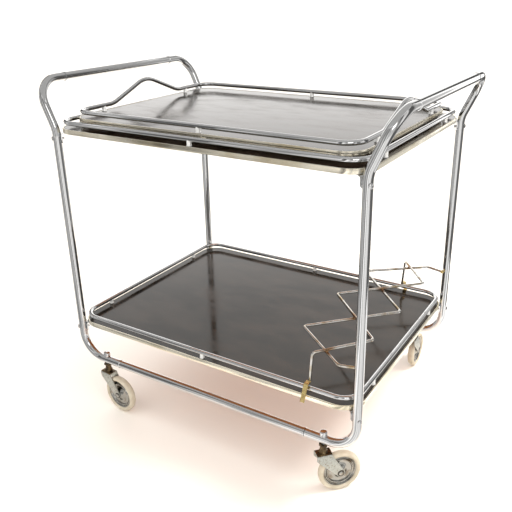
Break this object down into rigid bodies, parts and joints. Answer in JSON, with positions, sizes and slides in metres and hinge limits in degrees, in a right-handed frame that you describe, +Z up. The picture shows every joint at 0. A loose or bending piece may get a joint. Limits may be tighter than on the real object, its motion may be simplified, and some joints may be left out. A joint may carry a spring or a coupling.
{
  "type": "two-tier serving trolley",
  "caption": "Chromed tube serving trolley with laminate shelves, gallery rails, lift-off tray, wire bottle rack and swivel casters.",
  "frame": {"origin": "on the floor under the middle of the footprint, casters as they stand in the rest pose", "axes": "+X along the length to the right-hand handle, -Y to the front, +Z up"},
  "size_m": [0.726, 0.5452, 0.6915],
  "materials": {
    "chromed_tube": "polished chrome plate",
    "chromed_rod": "polished chrome plate",
    "bracket_steel": "polished chrome plate",
    "laminate_board": "glossy black laminate on board",
    "edge_metal": "satin pale gold",
    "clip_brass": "worn brass",
    "bronzed_metal": "dark bronzed",
    "zinc_plate": "aged zinc plate",
    "cream_rubber": "aged cream rubber"
  },
  "bodies": {
    "frame": {"bracket_lower_back_left": "bracket_steel", "bracket_lower_back_right": "bracket_steel", "bracket_lower_front_left": "bracket_steel", "bracket_lower_front_right": "bracket_steel", "bracket_top_back_left": "bracket_steel", "bracket_top_back_right": "bracket_steel", "bracket_top_front_left": "bracket_steel", "bracket_top_front_right": "bracket_steel", "caster_race_back_left": "bronzed_metal", "caster_race_back_right": "bronzed_metal", "caster_race_front_left": "bronzed_metal", "caster_race_front_right": "bronzed_metal", "caster_stem_back_left": "bracket_steel", "caster_stem_back_right": "bracket_steel", "caster_stem_front_left": "bracket_steel", "caster_stem_front_right": "bracket_steel", "handle_bar_left": "chromed_tube", "handle_bar_right": "chromed_tube", "leg_tube_back_left": "chromed_tube", "leg_tube_back_right": "chromed_tube", "leg_tube_front_left": "chromed_tube", "leg_tube_front_right": "chromed_tube", "lower_rail_back": "chromed_tube", "lower_rail_front": "chromed_tube", "lower_shelf_board": "laminate_board", "lower_shelf_edge_strip": "edge_metal", "lower_shelf_gallery": "chromed_rod", "rack_clip_back": "clip_brass", "rack_clip_front": "clip_brass", "rack_wire_armed": "chromed_rod", "rack_wire_legged": "chromed_rod", "screw_lower_back_left": "bracket_steel", "screw_lower_back_right": "bracket_steel", "screw_lower_front_left": "bracket_steel", "screw_lower_front_right": "bracket_steel", "screw_top_back_left": "bracket_steel", "screw_top_back_right": "bracket_steel", "screw_top_front_left": "bracket_steel", "screw_top_front_right": "bracket_steel", "top_shelf_board": "laminate_board", "top_shelf_edge_strip": "edge_metal", "top_shelf_gallery": "chromed_rod"},
    "tray": {"tray_board": "laminate_board", "tray_edge_strip": "edge_metal", "tray_gallery": "chromed_rod"},
    "caster_swivel_front_left": {"caster_fork_front_left": "zinc_plate"},
    "caster_roller_front_left": {"caster_wheel_front_left": "zinc_plate", "caster_tyre_front_left": "cream_rubber"},
    "caster_swivel_front_right": {"caster_fork_front_right": "zinc_plate"},
    "caster_roller_front_right": {"caster_wheel_front_right": "zinc_plate", "caster_tyre_front_right": "cream_rubber"},
    "caster_swivel_back_left": {"caster_fork_back_left": "zinc_plate"},
    "caster_roller_back_left": {"caster_wheel_back_left": "zinc_plate", "caster_tyre_back_left": "cream_rubber"},
    "caster_swivel_back_right": {"caster_fork_back_right": "zinc_plate"},
    "caster_roller_back_right": {"caster_wheel_back_right": "zinc_plate", "caster_tyre_back_right": "cream_rubber"}
  },
  "joints": [
    {"name": "tray_lift", "type": "slide", "parent": "frame", "child": "tray", "axis": [0, 0, 1], "range_m": [0, 0.15]},
    {"name": "caster_swivel_front_left", "type": "hinge", "parent": "frame", "child": "caster_swivel_front_left", "pos_m": [-0.255, -0.25202, 0.0395], "axis": [0, 0, 1], "continuous": true},
    {"name": "wheel_roll_front_left", "type": "hinge", "parent": "caster_swivel_front_left", "child": "caster_roller_front_left", "pos_m": [-0.22408, -0.25418, 0.0395], "axis": [0.0698, 0.9976, 0], "continuous": true},
    {"name": "caster_swivel_front_right", "type": "hinge", "parent": "frame", "child": "caster_swivel_front_right", "pos_m": [0.255, -0.25202, 0.0395], "axis": [0, 0, 1], "continuous": true},
    {"name": "wheel_roll_front_right", "type": "hinge", "parent": "caster_swivel_front_right", "child": "caster_roller_front_right", "pos_m": [0.27614, -0.22934, 0.0395], "axis": [-0.7314, 0.682, 0], "continuous": true},
    {"name": "caster_swivel_back_left", "type": "hinge", "parent": "frame", "child": "caster_swivel_back_left", "pos_m": [-0.255, 0.20198, 0.0395], "axis": [0, 0, 1], "continuous": true},
    {"name": "wheel_roll_back_left", "type": "hinge", "parent": "caster_swivel_back_left", "child": "caster_roller_back_left", "pos_m": [-0.2269, 0.21508, 0.0395], "axis": [-0.4226, 0.9063, 0], "continuous": true},
    {"name": "caster_swivel_back_right", "type": "hinge", "parent": "frame", "child": "caster_swivel_back_right", "pos_m": [0.255, 0.20198, 0.0395], "axis": [0, 0, 1], "continuous": true},
    {"name": "wheel_roll_back_right", "type": "hinge", "parent": "caster_swivel_back_right", "child": "caster_roller_back_right", "pos_m": [0.25392, 0.23296, 0.0395], "axis": [-0.9994, -0.0349, 0], "continuous": true}
  ]
}
